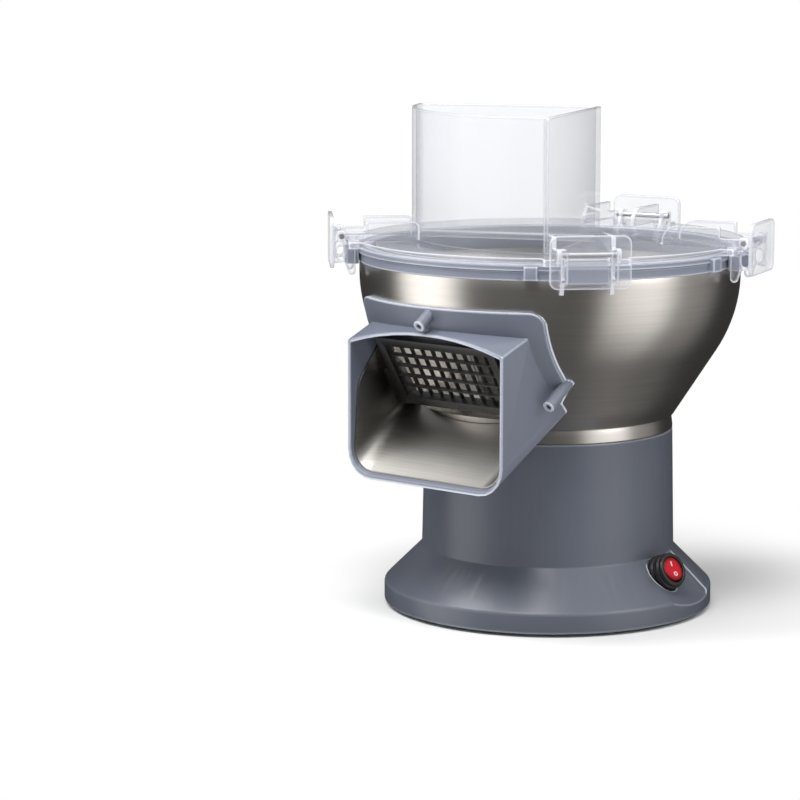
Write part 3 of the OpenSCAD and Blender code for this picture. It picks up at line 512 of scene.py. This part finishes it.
print("runs of edge ready")

# %% [markdown]
# ## Softened edges
# A copy of the solid's loose triangles is merged, its flat triangles are dissolved into whole faces, and the sharp
# edges are bevelled: first the inner corners, then the outer ones, so that neither eats the other. Small features
# such as screw bores get a smaller radius. A Bevel modifier would take less code, but it has one clamp for the piece.

# %% Softened edges
MERGE_WITHIN = 0.00002
FLAT_WITHIN = math.radians(0.4)
SHARP_FROM = math.radians(32)
SHADE_SHARP_FROM = math.radians(35)
SMALL_FEATURE = 0.014
SMALL_RADIUS = 0.00035


def bevel_run(bm, run, width, segments):
    offset = min(width, SMALL_RADIUS) if span(run) < SMALL_FEATURE else width
    made = bmesh.ops.bevel(bm, geom=run, offset=offset, offset_type="OFFSET", affect="EDGES", segments=segments,
                           profile=0.5, material=-1, clamp_overlap=True)
    return sum(f.calc_area() for f in made["faces"])


def soften_edges(bm, width, segments):
    length = strips = 0.0
    for outer in (False, True):
        edges = [e for e in bm.edges if len(e.link_faces) == 2 and e.is_convex == outer
                 and e.calc_face_angle(0) > SHARP_FROM]
        for run in linked_runs(edges):
            run = [e for e in run if e.is_valid]
            length += sum(e.calc_length() for e in run)
            strips += bevel_run(bm, run, width, segments)
    return length, strips


print("bevels ready")

# %% [markdown]
# ## Softened pieces
# The softened copy stands for its solid. Widths are in millimetres and follow how each piece is made: the thick base
# has the largest radius, bent sheet the smallest. On a few round walls the triangles are kept, because dissolving
# them would leave long bent faces that shade badly.

# %% Softened pieces
KEEP_TRIANGLES = ("bowl", "bowl_collar", "chute_liner", "rim_ring")


def soften(name, width, segments):
    bm = bmesh.new()
    bm.from_mesh(frame["nodes"][name].data)
    bmesh.ops.remove_doubles(bm, verts=bm.verts, dist=MERGE_WITHIN)
    if name not in KEEP_TRIANGLES:
        bmesh.ops.dissolve_limit(bm, angle_limit=FLAT_WITHIN, verts=bm.verts, edges=bm.edges)
    length, strips = soften_edges(bm, width, segments)
    mesh = mesh_from(bm, name + "_soft")
    mesh.shade_smooth()
    mesh.set_sharp_from_angle(angle=SHADE_SHARP_FROM)
    piece = link_piece(name + "_soft", mesh)
    finish_piece(piece, body_of[name], slot_of[name], own_finish.get(name))
    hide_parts(name)
    print(name, round(length / MM), "mm of edge softened, strips", round(strips / length / MM, 2), "mm wide")


for name, width, segments in (
    ("base_housing", 1.6, 3), ("base_plate", 0.5, 2), ("rubber_foot_ring", 0.4, 2), ("cable_gland", 0.5, 2),
    ("bowl_collar", 0.5, 2), ("bowl", 0.4, 2), ("rim_ring", 0.6, 2), ("latch_keepers", 0.8, 2),
    ("chute", 1.0, 3), ("chute_liner", 0.2, 2), ("chute_screws", 0.4, 2), ("knife_grid_frame", 0.5, 2),
    ("rotor_plate", 0.5, 2), ("pusher_vanes", 0.8, 2), ("rotor_nut", 0.6, 2),
    ("lid", 0.5, 2), ("feed_hopper", 0.6, 2), ("latch_left", 0.5, 2), ("latch_front", 0.5, 2),
    ("latch_right", 0.5, 2), ("latch_back", 0.5, 2), ("switch_boot", 0.4, 2), ("switch_rocker", 0.5, 3),
):
    soften(name, width * MM, segments)

# %% [markdown]
# ## Rocker faces
# The switch leans back with the skirt, and its rocker has two faces that meet in a shallow valley. Each face slopes
# by the angle that the rocker turns. The marks have to lie in those faces, so a frame for the switch, one for the
# rocker at rest and a helper for a spot on a face keep the sums in one place.

# %% Rocker faces
ROCK = math.radians(7)
PIVOT_DEPTH = 0.004
VALLEY_HEIGHT = 0.0034
switch_frame = (Matrix.Translation((0.119, 0.002, 0.041)) @ Matrix.Rotation(math.radians(-7), 4, "Z")
                @ Matrix.Rotation(math.radians(65), 4, "Y"))
rocker_frame = switch_frame @ Matrix.Translation((0, 0, -PIVOT_DEPTH)) @ Matrix.Rotation(-ROCK, 4, "Y")


def on_rocker(x, proud=0.0):
    lift = VALLEY_HEIGHT + abs(x) * math.tan(ROCK) + proud
    lean = -ROCK if x > 0 else ROCK
    return rocker_frame @ Matrix.Translation((x, 0, lift)) @ Matrix.Rotation(lean, 4, "Y")


print("rocker at", tuple(round(v, 4) for v in rocker_frame.translation))

# %% [markdown]
# ## Switch marks
# The rocker carries a bar at its upper end and a ring at its lower end. They could be drawn in the material, but
# then they would be soft at this size. Here they are thin inlays that turn with the rocker: the bar is a scaled
# cube, the ring a disc that is inset, opened and given its thickness.

# %% Switch marks
MARK_OUT = 0.0042
MARK_THICK = 0.0003
BAR_SIZE = (0.0036, 0.0011, MARK_THICK)
RING_OUTER, RING_INNER = 0.0018, 0.0011
RING_STEPS = 40


def bar_mesh(name, matrix):
    bm = bmesh.new()
    bmesh.ops.create_cube(bm, size=1.0)
    bmesh.ops.scale(bm, vec=BAR_SIZE, verts=bm.verts)
    bm.transform(matrix)
    return mesh_from(bm, name)


def ring_mesh(name, matrix):
    bm = bmesh.new()
    bmesh.ops.create_circle(bm, cap_ends=True, segments=RING_STEPS, radius=RING_OUTER)
    rim = bmesh.ops.inset_region(bm, faces=bm.faces[:], thickness=RING_OUTER - RING_INNER, use_boundary=True,
                                 use_even_offset=True)["faces"]
    bmesh.ops.delete(bm, geom=[f for f in bm.faces if f not in rim], context="FACES")
    bmesh.ops.solidify(bm, geom=bm.faces[:], thickness=-MARK_THICK)
    bmesh.ops.recalc_face_normals(bm, faces=bm.faces)
    bm.transform(matrix)
    return mesh_from(bm, name)


bar = link_piece("mark_bar", bar_mesh("mark_bar", on_rocker(-MARK_OUT)))
ring = link_piece("mark_ring", ring_mesh("mark_ring", on_rocker(MARK_OUT, MARK_THICK / 2)))
for piece in (bar, ring):
    finish_piece(piece, "rocker", "rocker_red", mark_white)
    print(piece.name, len(piece.data.polygons), "faces")

# %% [markdown]
# ## Floor
# The machine stands on white. A plain white floor never comes out quite white, and a floor that only glows takes no
# shadow. So this one does both: close to the machine it is a pale surface that takes the shadow, and further out it
# fades to pure white. Reflections pass it by, because the metal gets surroundings of its own further down.

# %% Floor
FLOOR_RADIUS = 60
SHADOW_NEAR, SHADOW_FAR = 0.16, 0.42


def white_to_the_eye(tree, place):
    path = add(tree, "LightPath", place).outputs
    shown = maths(tree, "MAXIMUM", path["Is Camera Ray"], path["Is Glossy Ray"])
    return maths(tree, "MAXIMUM", shown, path["Is Transmission Ray"])


bm = bmesh.new()
bmesh.ops.create_circle(bm, cap_ends=True, segments=96, radius=FLOOR_RADIUS)
floor = link_piece("floor", mesh_from(bm, "floor"))
floor.visible_glossy = False
floor_white, tree, shader = new_material("floor_white", Roughness=0.6, Base_Color=(0.86, 0.86, 0.86, 1))
away = vector_maths(tree, "LENGTH", on_object(tree), place=(-700, 0)).outputs["Value"]
fade = map_range(tree, away, (-500, 0), True, From_Min=SHADOW_NEAR, From_Max=SHADOW_FAR)
white = add(tree, "Emission", (-200, -200), Strength=1.0)
mix = add(tree, "MixShader", (300, 0))
for socket, source in zip(mix.inputs, (maths(tree, "MULTIPLY", white_to_the_eye(tree, (-900, -400)), fade),
                                       shader.outputs[0], white.outputs[0])):
    tree.links.new(source, socket)
fill(tree, tree.nodes["Material Output"], Surface=mix.outputs[0])
floor.data.materials.append(floor_white)
print("floor of", FLOOR_RADIUS, "m laid")

# %% [markdown]
# ## World
# Behind the clear parts the world has to be white too. As a light, a white world would wash out every shadow, so it
# is white only to the eye and dim as a light.

# %% World
AMBIENT = 0.34

world = bpy.data.worlds.new("studio")
scene.world = world
world.use_nodes = True
tree = world.node_tree
fill(tree, tree.nodes["Background"], Color=(1, 1, 1, 1),
     Strength=maths(tree, "MAXIMUM", white_to_the_eye(tree, (-700, 0)), AMBIENT))
print("world set, ambient", AMBIENT)

# %% [markdown]
# ## Something to mirror
# Polished metal shows its surroundings, so it needs some to show. Lamps alone would give small spots. A large shell
# that only reflections can see is dark and has tall soft windows: a strong one to the left of the camera, one to the
# right, and a weak one further right. They give the bowl its upright highlights and leave the rest of it dark.

# %% Mirror shell
SHELL_RADIUS = 6

bm = bmesh.new()
bmesh.ops.create_uvsphere(bm, u_segments=48, v_segments=24, radius=SHELL_RADIUS)
shell = link_piece("mirror_room", mesh_from(bm, "mirror_room"))
shell.visible_camera = shell.visible_diffuse = shell.visible_transmission = shell.visible_shadow = False
print("mirror shell of", SHELL_RADIUS, "m made")

# %% [markdown]
# The windows are drawn by direction: each is bright within a narrow angle of its azimuth and fades out at a wide one.
# A glow overhead lights the rims, and a faint haze on the camera's side keeps the front of the bowl from going black.

# %% Windows
# Each has its azimuth from the X axis, the half angle that is fully bright, the half angle where it ends, and its
# strength. The angles are in degrees.
WINDOWS = ((-131, 6, 28, 1.75), (3, 6, 30, 1.0), (34, 4, 40, 0.26))
HAZE = (-53, 20, 150, 0.075)
SILL_DARK, SILL_BRIGHT = -6.0, -1.6
GLOW_FROM, GLOW_FULL = 1.0, 5.5
OVERHEAD = 0.45
DARKEST = 0.035

shell_light = bpy.data.materials.new("room_light")
shell_light.use_nodes = True
tree = shell_light.node_tree
tree.nodes.remove(tree.nodes["Principled BSDF"])
point = add(tree, "SeparateXYZ", (-1200, 0), Vector=on_object(tree)).outputs
level = add(tree, "CombineXYZ", (-1000, 100), X=point["X"], Y=point["Y"]).outputs[0]
around = vector_maths(tree, "NORMALIZE", level, place=(-800, 100)).outputs[0]


def window(azimuth, narrow, wide, strength, place):
    a = math.radians(azimuth)
    facing = vector_maths(tree, "DOT_PRODUCT", around, (math.cos(a), math.sin(a), 0), place).outputs["Value"]
    lit = map_range(tree, facing, (place[0] + 200, place[1]), True,
                    From_Min=math.cos(math.radians(wide)), From_Max=math.cos(math.radians(narrow)))
    return maths(tree, "MULTIPLY", lit, strength)


left, right, far_right = (window(*w, (-600, 200 * i)) for i, w in enumerate(WINDOWS))
windows = maths(tree, "ADD", left, maths(tree, "ADD", right, far_right))
above_sill = map_range(tree, point["Z"], (-600, -200), True, From_Min=SILL_DARK, From_Max=SILL_BRIGHT)
overhead = map_range(tree, point["Z"], (-600, -400), True, From_Min=GLOW_FROM, From_Max=GLOW_FULL, To_Max=OVERHEAD)
glow = maths(tree, "ADD", maths(tree, "MULTIPLY", windows, above_sill), overhead)
dim = maths(tree, "ADD", window(*HAZE, (-600, -600)), DARKEST)
shine = add(tree, "Emission", Color=(1.0, 0.985, 0.965, 1), Strength=maths(tree, "ADD", glow, dim))
fill(tree, tree.nodes["Material Output"], Surface=shine.outputs[0])
shell.data.materials.append(shell_light)
print("windows:", len(WINDOWS))

# %% [markdown]
# ## Lamps
# Soft boxes do the lighting itself: a key from the front and above, a fill from either side and one overhead. Large
# boxes give the soft shadow of a studio. The one overhead is hidden from reflections, because it would lie on the
# lid as a white square.

# %% Lamps
AIM_HEIGHT = 0.2


def soft_box(name, azimuth, height, distance, size, power):
    data = bpy.data.lights.new(name, "AREA")
    data.shape = "RECTANGLE"
    data.size, data.size_y = size
    data.energy = power
    lamp = bpy.data.objects.new(name, data)
    scene.collection.objects.link(lamp)
    a = math.radians(azimuth)
    lamp.location = (distance * math.sin(a), -distance * math.cos(a), height)
    lamp.rotation_euler = (Vector((0, 0, AIM_HEIGHT)) - lamp.location).to_track_quat("-Z", "Y").to_euler()
    return lamp


soft_box("key_front", azimuth=18, height=2.4, distance=1.3, size=(0.9, 1.0), power=36)
soft_box("fill_right", azimuth=100, height=1.4, distance=1.8, size=(0.9, 1.3), power=12)
soft_box("fill_left", azimuth=-42, height=2.2, distance=1.4, size=(0.8, 1.2), power=30)
top = soft_box("top", azimuth=55, height=2.2, distance=0.3, size=(1.4, 1.4), power=14)
top.visible_glossy = False
print("lamps:", len(bpy.data.lights))
